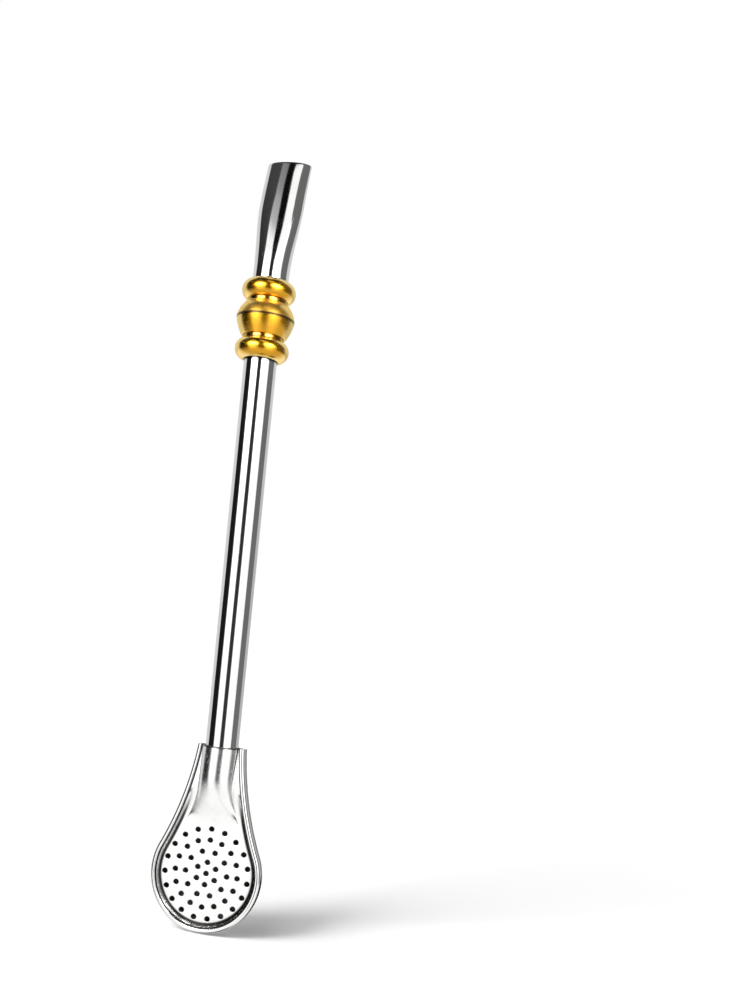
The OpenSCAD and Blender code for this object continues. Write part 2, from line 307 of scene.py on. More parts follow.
def above_rings(y, z):
    """From the rings' own axis to the object's frame."""
    return (neck_y + y * math.cos(ring_lean) + z * math.sin(ring_lean),
            ring_foot_z - y * math.sin(ring_lean) + z * math.cos(ring_lean))


def mouth_loop(along, skin):
    """A cross-section of the mouthpiece, along mm above the rings and skin mm inside its outer face."""
    bend_radius = mouth_length / mouth_sweep
    swept = max(along, 0) / bend_radius
    y = bend_radius * (1 - math.cos(swept))
    z = ring_set_height + (along if along < 0 else bend_radius * math.sin(swept))
    pressed = ease((along - mouth_round) / mouth_press)
    drawn = max(along - mouth_round, 0) / (mouth_length - mouth_round)
    thinned = (drawn ** 2 / (2 * press_onset) if drawn < press_onset else drawn - press_onset / 2)
    thinned /= 1 - press_onset / 2
    centre_y, centre_z = above_rings(y, z)
    levelled = ease(2 * along / mouth_length - 1)
    return cross_loop(
        centre_y, centre_z, ring_lean + mix(swept, 0, levelled),
        mix(mouth_radius, mouth_half_width, pressed) - skin,
        mix(mouth_radius, mouth_half_depth, thinned) - skin,
        mix(round_power, mouth_squareness, pressed))


mouth_rows = 64
lip_round = 0.12
lip_steps = 4
mouth_top = mouth_length - lip_round
mouth_heights = [mouth_foot - ring_set_height]
mouth_heights += [mouth_top * k / mouth_rows for k in range(mouth_rows + 1)]
lip_turns = [math.pi / 2 * k / lip_steps for k in range(1, lip_steps + 1)]
mouth_lip = [(mouth_top + lip_round * math.sin(turn), lip_round * (1 - math.cos(turn)))
             for turn in lip_turns]
mouth_lip += [(along, mouth_wall - skin) for along, skin in reversed(mouth_lip)]
mouthpiece = wrapped_piece(
    "mouthpiece_tube",
    [mouth_loop(along, 0) for along in mouth_heights]
    + [mouth_loop(along, skin) for along, skin in mouth_lip]
    + [mouth_loop(along, mouth_wall) for along in mouth_heights[::-1]])
mouthpiece.data.materials.append(polished_metal(
    "mouthpiece_polish", clean=(0.82, 0.82, 0.81, 1), hazed=(0.77, 0.77, 0.76, 1),
    smooth=0.06, dulled=0.11, line_spacing=(7000, 7000, 60), line_relief=0.12, haze_scale=160))
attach(mouthpiece, "root")
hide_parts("mouthpiece")


# Sleeve. A short brass tube, gold plated, pressed over the mouthpiece's foot to carry the rings.
# It shows only in the two grooves between them.
fit_gap = 0.05
sleeve_wall = 0.6
sleeve_inside = mouth_radius + fit_gap
sleeve_outside = sleeve_inside + sleeve_wall
sleeve_edge = 0.1
sleeve_low = ring_lip + fit_gap
sleeve_high = ring_set_height - ring_lip - fit_gap
sleeve_shade_share = 0.55
gold = (0.6, 0.29, 0.007, 1)
hazed_gold = (0.57, 0.275, 0.008, 1)


def turned_piece(name, profile, shade_at):
    """A ring turned on the lathe: a closed outline (radius, height) spun about the rings' axis.
    Painted shade darkens it round the place given in shade_at (radius, height, reach)."""
    shade_radius, shade_height, shade_reach = shade_at
    piece = wrapped_piece(name, [
        cross_loop(*above_rings(0, height), ring_lean, radius, radius) for radius, height in profile])
    painted_shade = [math.exp(-(math.hypot(radius - shade_radius, height - shade_height) / shade_reach) ** 2)
             for radius, height in profile]
    set_painted_shade(piece.data, np.repeat(painted_shade, sides))
    return piece


def gold_plate(name, clean, hazed, smooth, dulled, lacquer):
    """Gold plating on brass, which pales at a glancing angle. A lacquer of 0 leaves it bare."""
    plating = polished_metal(
        name, clean, hazed, smooth, dulled, line_spacing=(900, 900, 14000), line_relief=0.02,
        haze_scale=300, with_painted_shade=True, glancing=(1, 0.74, 0.27, 1))
    metal = plating.node_tree.nodes["Principled BSDF"]
    metal.inputs["Specular Tint"].default_value = (1, 0.9, 0.6, 1)
    metal.inputs["Coat Weight"].default_value = lacquer
    metal.inputs["Coat Roughness"].default_value = 0.12
    return plating


sleeve_profile = rounded([
    (sleeve_outside, sleeve_low, sleeve_edge), (sleeve_outside, sleeve_high, sleeve_edge),
    (sleeve_inside, sleeve_high, sleeve_edge), (sleeve_inside, sleeve_low, sleeve_edge)])
# Painted shade: the sleeve is darkened along its length, most at its middle, as the shade in the grooves
# between the rings.
sleeve = turned_piece(
    "ring_sleeve", sleeve_profile,
    (sleeve_outside, ring_set_height / 2, sleeve_shade_share * ring_set_height))
sleeve.data.materials.append(gold_plate("gilt", gold, hazed_gold, smooth=0.15, dulled=0.19, lacquer=0.4))
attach(sleeve, "root")
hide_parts("ferrule_sleeve")


# Beads. Two solid brass rings with a round outside, turned, polished and gold plated.
# They close the set above and below: each is pressed on the sleeve, and its lip hides the tubes' ends.
ring_bore = sleeve_outside + fit_gap
bead_radius = 7.8
bead_height = 6.1
bead_round = bead_height / 2
bead_middle = bead_radius - bead_round
bead_steps = 64
bead_shade_reach = 0.4


def bead_arc(foot, low_bore, high_bore):
    """The round outside of a bead, from its lower bore to its upper bore."""
    low_turn = -math.acos((low_bore - bead_middle) / bead_round)
    high_turn = math.acos((high_bore - bead_middle) / bead_round)
    turns = [mix(low_turn, high_turn, k / bead_steps) for k in range(bead_steps + 1)]
    return [(bead_middle + bead_round * math.cos(turn), foot + bead_round + bead_round * math.sin(turn))
            for turn in turns]


straw_hole = straw_radius + fit_gap
lower_profile = bead_arc(0, straw_hole, ring_bore) + [(ring_bore, ring_lip), (straw_hole, ring_lip)]
upper_lip = ring_set_height - ring_lip
upper_profile = bead_arc(ring_set_height - bead_height, ring_bore, sleeve_inside)
upper_profile += [(sleeve_inside, upper_lip), (ring_bore, upper_lip)]
bead_gilt = gold_plate("bead_gilt", gold, hazed_gold, smooth=0.19, dulled=0.23, lacquer=0.4)
# Painted shade at each bead's lip, where it meets the straw below or the mouthpiece above.
for bead_name, bead_node, bead_profile, shaded_corner in (
        ("lower_bead", "bottom_bead", lower_profile, lower_profile[0]),
        ("upper_bead", "top_bead", upper_profile, upper_profile[bead_steps])):
    bead = turned_piece(bead_name, bead_profile, (*shaded_corner, bead_shade_reach))
    bead.data.materials.append(bead_gilt)
    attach(bead, "root")
    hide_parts(bead_node)


# Barrel. Two thin spun shells, gold plated, that meet at a fine seam on the widest line.
# The upper one is domed and satin, the lower one draws in to a foot; both sit on the sleeve.
groove_height = 0.7
barrel_radius = 8.4
barrel_wall = 0.7
taper_height = 5.2
taper_end = 6.4
taper_swell = 0.25
dome_height = ring_set_height - 2 * (bead_height + groove_height) - taper_height
dome_end = 6.3
dome_swell = 0.45
seam_height = bead_height + groove_height + taper_height
seam_edge = 0.15
seam_lift = 0.015
seam_shoulder = 0.075
seam_shade_reach = 0.4
end_edge = 0.1
barrel_steps = 40


def barrel_half(end_radius, height, swell):
    """Outline (radius, height from the seam) of half the barrel: out along the shell, back inside it."""
    def shell(t):
        return mix(barrel_radius, end_radius, t) + swell * math.sin(math.pi * t)

    outline = [(barrel_radius - 2 * seam_edge, 0), (barrel_radius - seam_edge, seam_lift)]
    first = seam_shoulder / height
    last = 1 - end_edge / height
    for k in range(barrel_steps + 1):
        t = mix(first, last, k / barrel_steps)
        outline.append((shell(t), height * t))
    outline += [(end_radius - end_edge, height), (ring_bore, height), (ring_bore, height - barrel_wall)]
    for k in range(barrel_steps, -1, -1):
        t = (1 - barrel_wall / height) * k / barrel_steps
        outline.append((shell(t) - barrel_wall, height * t))
    return outline


dome_outline = [(radius, seam_height + rise)
                for radius, rise in barrel_half(dome_end, dome_height, dome_swell)]
taper_outline = [(radius, seam_height - fall)
                 for radius, fall in barrel_half(taper_end, taper_height, taper_swell)]
dome_gilt = gold_plate(
    "dome_gilt", clean=(0.66, 0.36, 0.05, 1), hazed=(0.63, 0.34, 0.05, 1),
    smooth=0.3, dulled=0.34, lacquer=0)
taper_gilt = gold_plate(
    "taper_gilt", clean=(0.61, 0.3, 0.01, 1), hazed=(0.59, 0.29, 0.01, 1),
    smooth=0.23, dulled=0.27, lacquer=0.4)
for half_name, half_node, half_outline, half_gilt in (
        ("barrel_dome", "barrel_upper", dome_outline, dome_gilt),
        ("barrel_taper", "barrel_lower", taper_outline[::-1], taper_gilt)):
    # Painted shade along the seam, under the dome's edge.
    barrel_shell = turned_piece(half_name, half_outline, (barrel_radius, seam_height, seam_shade_reach))
    barrel_shell.data.materials.append(half_gilt)
    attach(barrel_shell, "root")
    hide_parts(half_node)


# Strainer plate. Stamped stainless sheet: a flat flange, a slope down to the sunk perforated face,
# and the front half of the neck, which swells out of the face and grips the straw.
sheet = 0.6
bowl_radius = 16.5
neck_half_width = 7.15
flank_radius = 90
plate_edge = 0.65
slope_edge = 1.45
slope_width = 0.95
face_drop = 1.0
flange_top = sheet
face_top = flange_top - face_drop
neck_tube = straw_radius + fit_gap + sheet
neck_grip = 7
pocket_length = 5
pocket_foot = 0.1
grip_y = filter_length - neck_grip
pocket_y = grip_y - pocket_length
swell_length = 22
swell_foot_y = grip_y - swell_length
swell_blend = 0.8
swell_clear = 0.6
swell_fall = 6
foot_blend = 1.8
foot_reach = 13
face_end_y = 33
face_end_blend = 9
hole_radius = 0.8
hole_sides = 32
hole_pitch = 3.15
hole_counts = (6, 10, 16, 19)
staggered_ring = 2
hole_lip = 0.15
hole_pull = 0.03
end_round = 0.25
end_pull = 0.12

corner_x, corner_y = neck_half_width, filter_length - bowl_radius
reach = math.hypot(corner_x, corner_y)
along_reach = ((bowl_radius + flank_radius) ** 2 - flank_radius ** 2 + reach ** 2) / (2 * reach)
across_reach = math.sqrt((bowl_radius + flank_radius) ** 2 - along_reach ** 2)
flank_x = (along_reach * corner_x + across_reach * corner_y) / reach
flank_y = bowl_radius + (along_reach * corner_y - across_reach * corner_x) / reach
tangent_turn = math.atan2(flank_y - bowl_radius, flank_x)

hole_places = [(0.0, bowl_radius)]
for ring, count in enumerate(hole_counts, start=1):
    first_turn = math.pi / count if ring == staggered_ring else 0
    for k in range(count):
        turn = first_turn + 2 * math.pi * k / count
        hole_places.append((-ring * hole_pitch * math.sin(turn),
                            bowl_radius + ring * hole_pitch * math.cos(turn)))
hole_places = np.array(hole_places)


def outline_point(station, inset):
    """A point of the outline's right half: station 0 at the tip, 1 at the tangent, 2 at the neck."""
    if station < 1:
        radius = bowl_radius - inset
        turn = mix(-math.pi / 2, tangent_turn, station)
        return (radius * math.cos(turn), bowl_radius + radius * math.sin(turn))
    radius = flank_radius + inset
    neck_turn = math.asin((flank_y - filter_length) / radius)
    turn = mix(tangent_turn, neck_turn, station - 1)
    return (flank_x - radius * math.cos(turn), flank_y - radius * math.sin(turn))


def edge_distance(x, y):
    """How far inside the outline a point lies."""
    side = np.abs(x)
    to_bowl = bowl_radius - np.hypot(side, y - bowl_radius)
    to_flank = np.hypot(side - flank_x, y - flank_y) - flank_radius
    return np.where(np.arctan2(y - bowl_radius, side) < tangent_turn, to_bowl, to_flank)


def hole_distance(x, y):
    """How far each point lies from the middle of the nearest hole."""
    gaps = np.hypot(x[:, None] - hole_places[:, 0], y[:, None] - hole_places[:, 1])
    return gaps.min(axis=1)


def settle(t):
    """A slower start and end than ease gives, so that no crease shows in the polish."""
    t = np.clip(t, 0, 1)
    return t ** 3 * (6 * t * t - 15 * t + 10)


def blended(a, b, blend):
    """The greater of two heights, with the corner between them rounded off."""
    return np.maximum(a, b) + np.maximum(blend - np.abs(a - b), 0) ** 2 / (4 * blend)


def swell_half_width(y):
    """Half the swell's width: that of the flat face at its foot, that of the neck's tube at the grip."""
    face_side = flank_radius + slope_edge + slope_width + swell_clear
    flat_half = flank_x - np.sqrt(face_side ** 2 - (y - flank_y) ** 2)
    return mix(flat_half, neck_tube, settle((y - swell_foot_y) / swell_length))


def plate_height(x, y, skin):
    """Height of the plate's face (skin 0) or of its underside (skin = sheet) while it lies face up."""
    inset = edge_distance(x, y)
    sunk = ease((inset - slope_edge) / slope_width) * (1 - ease((y - face_end_y) / face_end_blend))
    base = flange_top - face_drop * sunk - skin
    rise = settle((y - swell_foot_y) / swell_length)
    blend = mix(foot_blend, swell_blend, ease((y - swell_foot_y) / foot_reach))
    half = swell_half_width(y) - skin
    crown = mix(face_top - foot_blend, neck_tube, rise) - skin
    lifted = ease((y - swell_foot_y) / (pocket_y - swell_foot_y))
    foot = mix(face_top - foot_blend, pocket_foot, lifted) - skin
    within = np.sqrt(np.maximum(1 - (x / half) ** 2, 0))
    arch = foot + (crown - foot) * within - swell_fall * np.maximum(np.abs(x) - half, 0)
    height = blended(base, arch, blend)
    if skin == 0:
        pulled = np.clip(1 - (hole_distance(x, y) - hole_radius) / hole_lip, 0, 1)
        turned_in = np.clip(1 - (filter_length - y) / end_round, 0, 1)
        height = height - hole_pull * pulled ** 2 - end_pull * turned_in ** 2
    return height


def stood_up(x, y, height):
    """From the filter lying on its back to the filter standing on its tip."""
    lean_s, lean_c = math.sin(filter_lean), math.cos(filter_lean)
    return np.stack([x, y * lean_s - height * lean_c, y * lean_c + height * lean_s], axis=1)


def sheet_piece(name, outer, outer_normals, inner, inner_normals, faces, finishes):
    """A closed sheet of metal: an outer face, and an inner face and edges with the second finish."""
    count = len(outer)
    once = {}
    for face in faces:
        for k, start in enumerate(face):
            end = face[(k + 1) % len(face)]
            if once.pop((end, start), None) is None:
                once[(start, end)] = True
    all_faces = [tuple(face) for face in faces]
    all_faces += [tuple(count + k for k in reversed(face)) for face in faces]
    edge_faces = [(end, start, count + start, count + end) for start, end in once]
    mesh = bpy.data.meshes.new(name)
    points = np.concatenate([outer, inner]) * millimetre
    mesh.from_pydata([tuple(point) for point in points], [], all_faces + edge_faces)
    mesh.shade_smooth()
    both_normals = np.concatenate([outer_normals, inner_normals])
    normals = []
    for polygon in mesh.polygons:
        if polygon.index < len(all_faces):
            normals += [both_normals[vertex] for vertex in polygon.vertices]
        else:
            normals += [tuple(polygon.normal)] * len(polygon.vertices)
    mesh.normals_split_custom_set([tuple(normal) for normal in normals])
    for finish in finishes:
        mesh.materials.append(finish)
    for polygon in mesh.polygons:
        polygon.material_index = 0 if polygon.index < len(faces) else 1
    piece = bpy.data.objects.new(name, mesh)
    bpy.context.scene.collection.objects.link(piece)
    return piece


# The plate is drawn flat first: lines along its rim, across its neck and round each hole, joined up
# in triangles. Its heights then come from plate_height.
rim_steps = 400
rim_spacing = 0.12
rim_margin = 0.7
edge_clear = 0.05
face_spacing = 0.6
face_half = 14.1
face_start_y = 3
neck_spacing = 0.4
neck_lead = 2
neck_start_y = swell_foot_y - neck_lead
end_band = 0.5
neck_end_y = filter_length - end_band
column_turn = 3
valley_steps = (0.04, 0.08, 0.13, 0.19, 0.26, 0.34, 0.44, 0.56, 0.7, 0.86)
valley_clear = 0.06
end_steps = (0.03, 0.07, 0.12, 0.18, 0.25, 0.35)
end_clear = 0.01
corner_clear = 0.02
lip_rings = (0.03, 0.07, 0.11, 0.15, 0.22)
lip_clear = 0.2
joining_gap = 1e-5
outline_slack = 0.003
hole_slack = 0.008
least_area = 1e-7
rim_stations = [2 - 2 * k / rim_steps for k in range(rim_steps + 1)]
plan_points = []
plan_edges = []


def add_loop(points):
    """Adds a closed line to the plate's plan."""
    first = len(plan_points)
    plan_points.extend(points)
    for k in range(len(points)):
        plan_edges.append((first + k, first + (k + 1) % len(points)))


right_edge = [outline_point(station, plate_edge) for station in rim_stations]
left_edge = [(-x, y) for x, y in reversed(right_edge[:-1])]
top_half = right_edge[0][0]
neck_columns = [math.sin(math.radians(turn)) for turn in range(-90, 91, column_turn)]


def across_neck(y):
    """Places across the swell at y, closest together at its sides and in the valleys beside it."""
    half = float(swell_half_width(np.array(y)))
    xs = [half * column for column in neck_columns]
    xs += [sign * (half + step) for step in valley_steps for sign in (-1, 1)]
    return sorted(xs)


def hole_circle(centre, radius):
    """Points round a hole."""
    turns = [2 * math.pi * k / hole_sides for k in range(hole_sides)]
    return [(centre[0] + radius * math.cos(turn), centre[1] + radius * math.sin(turn)) for turn in turns]


top_row = [(x, filter_length) for x in across_neck(filter_length) if abs(x) < top_half - corner_clear]
add_loop(right_edge + left_edge + top_row)
for hole_place in hole_places:
    add_loop(hole_circle(hole_place, hole_radius))
loose = []
for inset in np.arange(plate_edge + rim_spacing, slope_edge + slope_width + rim_margin, rim_spacing):
    for station in rim_stations:
        x, y = outline_point(station, inset)
        if y < neck_start_y or x > swell_half_width(y) + valley_steps[-1] + valley_clear:
            loose += [(x, y), (-x, y)]
for y in np.arange(neck_start_y, neck_end_y, neck_spacing):
    loose += [(x, y) for x in across_neck(y)]
for y in filter_length - np.array(end_steps):
    loose += [(x, y) for x in across_neck(y)]
for y in np.arange(face_start_y, neck_start_y, face_spacing):
    loose += [(x, y) for x in np.arange(-face_half, face_half + face_spacing / 2, face_spacing)]
loose = np.array(loose)
clear_of_holes = hole_distance(loose[:, 0], loose[:, 1]) > hole_radius + hole_lip + lip_clear
inside_plate = edge_distance(loose[:, 0], loose[:, 1]) > plate_edge + edge_clear
inside_plate &= loose[:, 1] < filter_length - end_clear
plan_points.extend(map(tuple, loose[clear_of_holes & inside_plate]))
for hole_place in hole_places:
    for step in lip_rings:
        plan_points.extend(hole_circle(hole_place, hole_radius + step))
plan = delaunay_2d_cdt([Vector(point) for point in plan_points], plan_edges, [], 0, joining_gap)
plan_xy = np.array([tuple(point) for point in plan[0]])
triangles = np.array([tuple(face) for face in plan[2]])
corners = plan_xy[triangles]
middles = corners.mean(axis=1)
areas = 0.5 * ((corners[:, 1, 0] - corners[:, 0, 0]) * (corners[:, 2, 1] - corners[:, 0, 1])
               - (corners[:, 2, 0] - corners[:, 0, 0]) * (corners[:, 1, 1] - corners[:, 0, 1]))
kept = edge_distance(middles[:, 0], middles[:, 1]) > plate_edge - outline_slack
kept &= middles[:, 1] < filter_length
kept &= hole_distance(middles[:, 0], middles[:, 1]) > hole_radius - hole_slack
kept &= np.abs(areas) > least_area
triangles = triangles[kept]
triangles[areas[kept] < 0] = triangles[areas[kept] < 0][:, ::-1]
used, triangles = np.unique(triangles, return_inverse=True)
triangles = triangles.reshape(-1, 3)
plan_x, plan_y = plan_xy[used, 0], plan_xy[used, 1]


def plate_face(skin):
    """Points and normals of one face of the strainer plate, in the object's frame."""
    step = 0.004

    def slope(aside, along):
        ahead = plate_height(plan_x + aside, plan_y + along, skin)
        behind = plate_height(plan_x - aside, plan_y - along, skin)
        return (ahead - behind) / (2 * step)

    slope_x = slope(step, 0)
    slope_y = slope(0, step)
    size = np.sqrt(slope_x ** 2 + slope_y ** 2 + 1)
    return (stood_up(plan_x, plan_y, plate_height(plan_x, plan_y, skin)),
            stood_up(-slope_x / size, -slope_y / size, 1 / size))


face_points, face_normals = plate_face(0)
under_points, under_normals = plate_face(sheet)
strainer_polish = polished_metal(
    "strainer_polish", clean=(0.86, 0.86, 0.85, 1), hazed=(0.82, 0.82, 0.81, 1), smooth=0.2, dulled=0.24,
    line_spacing=(5000, 700, 700), line_relief=0.02, haze_scale=200, with_painted_shade=True)
# Inside faces, sheet edges and hole walls: a rough unpolished finish, with a near-black colour that is
# painted shade inside the bowl and in the holes.
rough_shaded_inside = polished_metal(
    "rough_inside_painted_shade", clean=(0.10, 0.10, 0.095, 1), hazed=(0.05, 0.048, 0.045, 1),
    smooth=0.45, dulled=0.7, line_spacing=(3000, 900, 900), line_relief=0.3, haze_scale=250)
strainer = sheet_piece(
    "strainer", face_points, face_normals, under_points, -under_normals, triangles.tolist(),
    (strainer_polish, rough_shaded_inside))
# Painted shade lies in the crease at the foot of the slope, along the hem's fold and at the neck's end.
crease_fade_y = 28
crease_fade = 14
crease_width = 0.42
fold_line = 1.45
fold_width = 0.24
end_line = 0.45
shade_gain = 1.5
inset = edge_distance(plan_x, plan_y)
strainer_painted_shade = np.exp(-((inset - slope_edge - slope_width) / crease_width) ** 2)
strainer_painted_shade *= 1 - ease((plan_y - crease_fade_y) / crease_fade)
strainer_painted_shade = np.maximum(strainer_painted_shade, np.exp(-((inset - fold_line) / fold_width) ** 2))
strainer_painted_shade = np.maximum(strainer_painted_shade, np.clip(1 - (filter_length - plan_y) / end_line, 0, 1))
strainer_painted_shade = np.minimum(shade_gain * strainer_painted_shade, 1)
set_painted_shade(strainer.data, np.concatenate([strainer_painted_shade, np.zeros_like(strainer_painted_shade)]))
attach(strainer, "root")
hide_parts("strainer_plate")


# Back of the filter. Stainless sheet pressed into a deep bowl, with the back half of the neck.
# Its edge is turned up round the strainer plate and folded over it in a rounded hem.
hem_width = 1.3
hem_round = 0.85
hem_lip_round = 0.28
hem_steps = 240
fold_round = 0.05
edge_round = 0.1
wall_round = 0.4
wall_deep = 1.8
wall_set = 0.25
wall_lap = 0.6
bend_top = -0.9
bend_fade = 0.5
bowl_depth = 7.5
ear_blend = 0.4
bowl_rows = 48
draw_rows = 12
grip_rows = 6
bowl_columns = 96
least_length = 1e-12


def bowl_skin(skin):
    """Points of the bowl's outside (skin 0) or inside, row by row from the tip to the neck's end."""
    rim = wall_set + skin
    dish_radius = bowl_radius - rim
    deep = bowl_depth - skin
    tube = neck_tube - skin
    ears = wall_deep - skin
    bowl_steps = range(1, bowl_rows + 1)
    rows = [bowl_radius - dish_radius * math.cos(math.pi / 2 * k / bowl_rows) for k in bowl_steps]
    rows += [mix(bowl_radius, pocket_y, k / bowl_rows) for k in bowl_steps]
    rows += [mix(pocket_y, grip_y, k / draw_rows) for k in range(1, draw_rows + 1)]
    rows += [mix(grip_y, filter_length, k / grip_rows) for k in range(1, grip_rows + 1)]
    points = []
    for y in rows:
        if y < bowl_radius + dish_radius * math.sin(tangent_turn):
            full = math.sqrt(max(dish_radius ** 2 - (y - bowl_radius) ** 2, 0))
        else:
            full = flank_x - math.sqrt((flank_radius + rim) ** 2 - (y - flank_y) ** 2)
        drawn = ease((y - pocket_y) / (grip_y - pocket_y))
        half = mix(full, tube, drawn)
        wall = mix(wall_deep, 0, drawn)
        if y < bowl_radius:
            depth = mix(wall_deep, deep, math.sqrt(max(1 - ((y - bowl_radius) / dish_radius) ** 2, 0)))
        else:
            depth = mix(deep, tube, ease((y - bowl_radius) / (grip_y - bowl_radius)))
        points.append((full, y, wall_lap - wall_deep))
        for k in range(bowl_columns + 1):
            x = full * math.cos(math.pi * k / bowl_columns)
            dish = wall + (depth - wall) * math.sqrt(max(1 - (x / half) ** 2, 0)) if abs(x) < half else 0
            points.append((x, y, -blended(dish, ears, ear_blend)))
        points.append((-full, y, wall_lap - wall_deep))
    points = np.array(points)
    return stood_up(points[:, 0], points[:, 1], points[:, 2])


def grid_normals(points, faces):
    """Smooth normals of an open grid of faces."""
    faces = np.array(faces)
    across = points[faces[:, 2]] - points[faces[:, 0]]
    up = points[faces[:, 3]] - points[faces[:, 1]]
    each = np.cross(across, up)
    total = np.zeros_like(points)
    for k in range(4):
        np.add.at(total, faces[:, k], each)
    return total / np.maximum(np.linalg.norm(total, axis=1, keepdims=True), least_length)


bowl_outside = bowl_skin(0)
bowl_inside = bowl_skin(sheet)
bowl_faces = []
bowl_width = bowl_columns + 3
for row in range(len(bowl_outside) // bowl_width - 1):
    for k in range(bowl_width - 1):
        a = row * bowl_width + k
        b = a + bowl_width
        bowl_faces.append((a, b, b + 1, a + 1))
back_polish = polished_metal(
    "back_polish", clean=(0.82, 0.82, 0.81, 1), hazed=(0.77, 0.77, 0.76, 1), smooth=0.04, dulled=0.1,
    line_spacing=(5000, 700, 700), line_relief=0.03, haze_scale=150, with_painted_shade=True)
bowl = sheet_piece(
    "bowl", bowl_outside, grid_normals(bowl_outside, bowl_faces),
    bowl_inside, -grid_normals(bowl_inside, bowl_faces), bowl_faces, (back_polish, rough_shaded_inside))
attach(bowl, "root")
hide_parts("filter_back")

wall_inside = wall_set + sheet
hem_profile = rounded([
    (wall_inside, -wall_deep, edge_round), (0, -wall_deep, wall_round),
    (0, 2 * sheet, hem_round), (hem_width, 2 * sheet, hem_lip_round),
    (hem_width, sheet, edge_round), (sheet, sheet, fold_round),
    (sheet, 0, fold_round), (wall_inside, 0, edge_round)])
hem_stations = [2 - 2 * k / hem_steps for k in range(hem_steps + 1)]
hem_places = [(station, 1) for station in hem_stations]
hem_places += [(station, -1) for station in hem_stations[-2::-1]]
hem_points = []
for station, side in hem_places:
    for inset, height in hem_profile:
        x, y = outline_point(station, inset)
        hem_points.append((side * x, y, height))
hem_points = np.array(hem_points)
hem_points = stood_up(hem_points[:, 0], hem_points[:, 1], hem_points[:, 2])
hem_count = len(hem_profile)
hem_faces = []
for row in range(len(hem_places) - 1):
    for k in range(hem_count):
        a = row * hem_count + k
        b = row * hem_count + (k + 1) % hem_count
        hem_faces.append((a, a + hem_count, b + hem_count, b))
last_row = (len(hem_places) - 1) * hem_count
hem_faces.append(tuple(range(hem_count)))
hem_faces.append(tuple(last_row + k for k in reversed(range(hem_count))))
hem_mesh = bpy.data.meshes.new("hem")
hem_mesh.from_pydata([tuple(point * millimetre) for point in hem_points], [], hem_faces)
hem_mesh.shade_smooth()
end_keys = {key for polygon in hem_mesh.polygons[-2:] for key in polygon.edge_keys}
for edge in hem_mesh.edges:
    edge.use_edge_sharp = edge.key in end_keys
hem = bpy.data.objects.new("hem", hem_mesh)
bpy.context.scene.collection.objects.link(hem)
# Painted shade on the hem's outer wall and bottom edge, darker towards the bottom.
hem_painted_shade = [float(ease((bend_top - height) / bend_fade)) for _, height in hem_profile]
set_painted_shade(hem_mesh, np.tile(hem_painted_shade, len(hem_places)))
hem_mesh.materials.append(back_polish)
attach(hem, "root")
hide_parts("filter_back")


# Stage. A white floor with a soft shadow, and round it the soft boxes, lamps and dark cards that give
# polished metal its stripes. They show in reflections only and are placed by direction, far off for the
# whole straw or close by for the gold rings and the filter.
stage_middle = Vector((0, neck_y * millimetre, 0.1))
ring_middle = Vector((0, neck_y * millimetre, 0.174))
filter_middle = Vector((0, 0, 0.02))
foot_middle = Vector((0, 0, 0))
panel_rows = 8
panel_columns = 24

panel_glow = bpy.data.materials.new("panel_glow")
panel_glow.use_nodes = True
panel_nodes = panel_glow.node_tree.nodes
panel_link = panel_glow.node_tree.links.new
panel_nodes.remove(panel_nodes["Principled BSDF"])
panel_level = panel_nodes.new("ShaderNodeAttribute")
panel_level.attribute_name = "level"
panel_cover = panel_nodes.new("ShaderNodeAttribute")
panel_cover.attribute_name = "cover"
panel_light = panel_nodes.new("ShaderNodeEmission")
panel_clear = panel_nodes.new("ShaderNodeBsdfTransparent")
panel_blend = panel_nodes.new("ShaderNodeMixShader")
panel_link(panel_level.outputs["Fac"], panel_light.inputs["Strength"])
panel_link(panel_cover.outputs["Fac"], panel_blend.inputs["Fac"])
panel_link(panel_clear.outputs["BSDF"], panel_blend.inputs[1])
panel_link(panel_light.outputs["Emission"], panel_blend.inputs[2])
panel_link(panel_blend.outputs["Shader"], panel_nodes["Material Output"].inputs["Surface"])


def stage_panel(name, middle, distance, soft, stops):
    """A panel round the middle, seen only in reflections, from bottom to top through stops of
    (elevation, left azimuth, right azimuth, level, cover), in degrees from -Y towards +X.
    Its sides die away over the soft share of its half width."""
    rows = []
    for low, high in zip(stops, stops[1:]):
        rows += [[mix(a, b, k / panel_rows) for a, b in zip(low, high)] for k in range(panel_rows)]
    rows.append(stops[-1])
    points, levels, covers = [], [], []
    for elevation, left, right, level, cover in rows:
        for k in range(panel_columns + 1):
            aside = mix(-1, 1, k / panel_columns)
            azimuth = math.radians(mix(left, right, k / panel_columns))
            height = math.radians(elevation)
            away = Vector((math.cos(height) * math.sin(azimuth), -math.cos(height) * math.cos(azimuth),
                           math.sin(height)))
            points.append(middle + away * distance)
            levels.append(level)
            covers.append(cover * float(ease((1 - abs(aside)) / soft)))
    faces = []
    for row in range(len(rows) - 1):
        for k in range(panel_columns):
            a = row * (panel_columns + 1) + k
            b = a + panel_columns + 1
            faces.append((a, a + 1, b + 1, b))
    mesh = bpy.data.meshes.new(name)
    mesh.from_pydata(points, [], faces)
    mesh.attributes.new("level", "FLOAT", "POINT").data.foreach_set("value", levels)
    mesh.attributes.new("cover", "FLOAT", "POINT").data.foreach_set("value", covers)
    mesh.materials.append(panel_glow)
    panel = bpy.data.objects.new(name, mesh)
    bpy.context.scene.collection.objects.link(panel)
    panel.visible_camera = False
    panel.visible_diffuse = False
    panel.visible_shadow = False


def even_stops(left, right, level, fades):
    """Stops of a panel with upright sides and one level, from pairs of (elevation, cover)."""
    return [(elevation, left, right, level, cover) for elevation, cover in fades]


